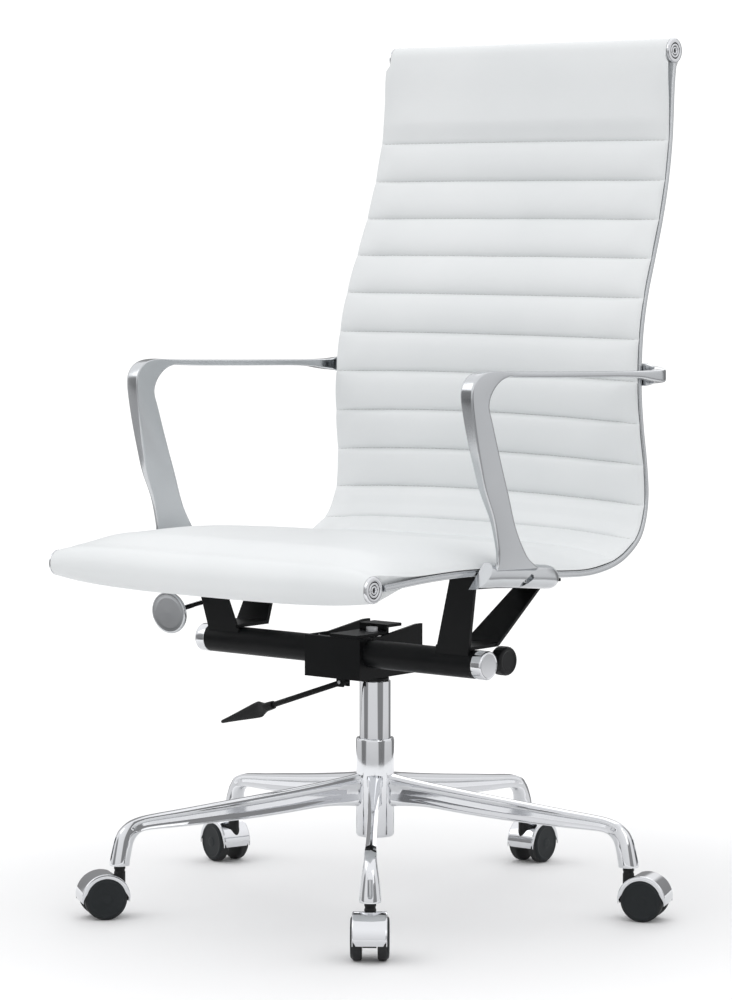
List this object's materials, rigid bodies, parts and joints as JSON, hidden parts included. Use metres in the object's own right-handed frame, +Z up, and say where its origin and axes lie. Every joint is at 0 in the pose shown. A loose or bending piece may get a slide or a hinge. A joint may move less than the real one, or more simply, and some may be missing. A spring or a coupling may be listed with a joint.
{
  "type": "swivel office chair",
  "caption": "High-back swivel office chair with a ribbed leather sling between side rails, loop arms, tilt mechanism, gas column and five-leg caster base.",
  "frame": {"origin": "middle of the footprint on the floor; the column axis stands at x = 0.0045 m, y = -0.0258 m", "axes": "+Z up, the sitter faces -Y, +X is to the sitter's left"},
  "size_m": [0.7644, 0.7402, 1.1275],
  "materials": {
    "chrome": "bright mirror plating",
    "satin_aluminium": "polished to a soft satin",
    "black_paint": "satin black powder coat",
    "black_plastic": "moulded, slightly rough",
    "wheel_plastic": "moulded, dark grey tread and disc",
    "white_leather": "smooth upholstery leather with soft grain",
    "steel": "plain steel"
  },
  "bodies": {
    "base": {"star_base": "chrome", "stand_tube": "chrome", "column_ring": "black_plastic", "thrust_bearing": "steel"},
    "swivel_rod": {"piston_rod": "steel"},
    "mechanism": {"gas_cylinder": "chrome", "tilt_housing": "black_paint", "top_bracket": "black_paint", "bracket_bolt": "steel", "lever_pin": "steel"},
    "seat_frame": {"torsion_tube": "black_paint", "tube_cap_right": "chrome", "tube_cap_left": "chrome", "support_bracket_right": "black_paint", "support_bracket_left": "black_paint", "mount_plate_right": "black_paint", "mount_plate_left": "black_paint", "side_rail_right": "satin_aluminium", "side_rail_left": "satin_aluminium", "top_roll_tube": "steel", "top_roll_cap_right": "chrome", "top_roll_cap_left": "chrome", "front_roll_tube": "steel", "front_roll_cap_right": "chrome", "front_roll_cap_left": "chrome", "sling_pad": "white_leather", "back_stretcher": "satin_aluminium", "arm_right": "satin_aluminium", "arm_left": "satin_aluminium", "arm_screw_right": "steel", "arm_screw_left": "steel"},
    "height_lever_arm": {"height_lever": "black_paint", "lever_paddle": "black_plastic"},
    "tension_adjuster": {"tension_shaft": "steel", "tension_knob": "black_plastic"},
    "tilt_adjuster": {"tilt_rod": "chrome", "tilt_knob": "satin_aluminium"},
    "caster_1": {"caster_hood_1": "chrome", "caster_neck_1": "black_plastic"},
    "wheel_1_a": {"wheel_1_a": "wheel_plastic"},
    "wheel_1_b": {"wheel_1_b": "wheel_plastic"},
    "caster_2": {"caster_hood_2": "chrome", "caster_neck_2": "black_plastic"},
    "wheel_2_a": {"wheel_2_a": "wheel_plastic"},
    "wheel_2_b": {"wheel_2_b": "wheel_plastic"},
    "caster_3": {"caster_hood_3": "chrome", "caster_neck_3": "black_plastic"},
    "wheel_3_a": {"wheel_3_a": "wheel_plastic"},
    "wheel_3_b": {"wheel_3_b": "wheel_plastic"},
    "caster_4": {"caster_hood_4": "chrome", "caster_neck_4": "black_plastic"},
    "wheel_4_a": {"wheel_4_a": "wheel_plastic"},
    "wheel_4_b": {"wheel_4_b": "wheel_plastic"},
    "caster_5": {"caster_hood_5": "chrome", "caster_neck_5": "black_plastic"},
    "wheel_5_a": {"wheel_5_a": "wheel_plastic"},
    "wheel_5_b": {"wheel_5_b": "wheel_plastic"}
  },
  "joints": [
    {"name": "swivel", "type": "hinge", "parent": "base", "child": "swivel_rod", "pos_m": [0.00446, -0.0258, 0.1], "axis": [0, 0, 1], "continuous": true},
    {"name": "height", "type": "slide", "parent": "swivel_rod", "child": "mechanism", "axis": [0, 0, 1], "range_m": [0, 0.08]},
    {"name": "tilt", "type": "hinge", "parent": "mechanism", "child": "seat_frame", "pos_m": [0.00446, -0.0938, 0.337], "axis": [-1, 0, 0], "range_deg": [0, 9], "stiffness_Nm_per_rad": 150, "springref_deg": -20.05},
    {"name": "lever", "type": "hinge", "parent": "mechanism", "child": "height_lever_arm", "pos_m": [-0.01654, -0.0658, 0.292], "axis": [0, 1, 0], "range_deg": [0, 7], "stiffness_Nm_per_rad": 2, "springref_deg": -6.88},
    {"name": "tension_turn", "type": "hinge", "parent": "mechanism", "child": "tension_adjuster", "pos_m": [0.12446, -0.0298, 0.335], "axis": [1, 0, 0], "continuous": true},
    {"name": "tilt_knob_turn", "type": "hinge", "parent": "seat_frame", "child": "tilt_adjuster", "pos_m": [-0.21354, -0.1863, 0.378], "axis": [-0.0779, 0.9917, 0.102], "continuous": true},
    {"name": "caster_1_swivel", "type": "hinge", "parent": "base", "child": "caster_1", "pos_m": [0.21736, -0.29345, 0.06], "axis": [0, 0, 1], "continuous": true},
    {"name": "wheel_1_a_roll", "type": "hinge", "parent": "caster_1", "child": "wheel_1_a", "pos_m": [0.23105, -0.31067, 0.0275], "axis": [0.7826, 0.6225, 0], "continuous": true},
    {"name": "wheel_1_b_roll", "type": "hinge", "parent": "caster_1", "child": "wheel_1_b", "pos_m": [0.23105, -0.31067, 0.0275], "axis": [0.7826, 0.6225, 0], "continuous": true},
    {"name": "caster_2_swivel", "type": "hinge", "parent": "base", "child": "caster_2", "pos_m": [0.3248, 0.09397, 0.06], "axis": [0, 0, 1], "continuous": true},
    {"name": "wheel_2_a_roll", "type": "hinge", "parent": "caster_2", "child": "wheel_2_a", "pos_m": [0.34541, 0.10167, 0.0275], "axis": [-0.3502, 0.9367, 0], "continuous": true},
    {"name": "wheel_2_b_roll", "type": "hinge", "parent": "caster_2", "child": "wheel_2_b", "pos_m": [0.34541, 0.10167, 0.0275], "axis": [-0.3502, 0.9367, 0], "continuous": true},
    {"name": "caster_3_swivel", "type": "hinge", "parent": "base", "child": "caster_3", "pos_m": [-0.01046, 0.31587, 0.06], "axis": [0, 0, 1], "continuous": true},
    {"name": "wheel_3_a_roll", "type": "hinge", "parent": "caster_3", "child": "wheel_3_a", "pos_m": [-0.01142, 0.33785, 0.0275], "axis": [-0.999, -0.0436, 0], "continuous": true},
    {"name": "wheel_3_b_roll", "type": "hinge", "parent": "caster_3", "child": "wheel_3_b", "pos_m": [-0.01142, 0.33785, 0.0275], "axis": [-0.999, -0.0436, 0], "continuous": true},
    {"name": "caster_4_swivel", "type": "hinge", "parent": "base", "child": "caster_4", "pos_m": [-0.3251, 0.06559, 0.06], "axis": [0, 0, 1], "continuous": true},
    {"name": "wheel_4_a_roll", "type": "hinge", "parent": "caster_4", "child": "wheel_4_a", "pos_m": [-0.3463, 0.07147, 0.0275], "axis": [-0.2672, -0.9636, 0], "continuous": true},
    {"name": "wheel_4_b_roll", "type": "hinge", "parent": "caster_4", "child": "wheel_4_b", "pos_m": [-0.3463, 0.07147, 0.0275], "axis": [-0.2672, -0.9636, 0], "continuous": true},
    {"name": "caster_5_swivel", "type": "hinge", "parent": "base", "child": "caster_5", "pos_m": [-0.1843, -0.31099, 0.06], "axis": [0, 0, 1], "continuous": true},
    {"name": "wheel_5_a_roll", "type": "hinge", "parent": "caster_5", "child": "wheel_5_a", "pos_m": [-0.19645, -0.32934, 0.0275], "axis": [0.8339, -0.5519, 0], "continuous": true},
    {"name": "wheel_5_b_roll", "type": "hinge", "parent": "caster_5", "child": "wheel_5_b", "pos_m": [-0.19645, -0.32934, 0.0275], "axis": [0.8339, -0.5519, 0], "continuous": true}
  ]
}
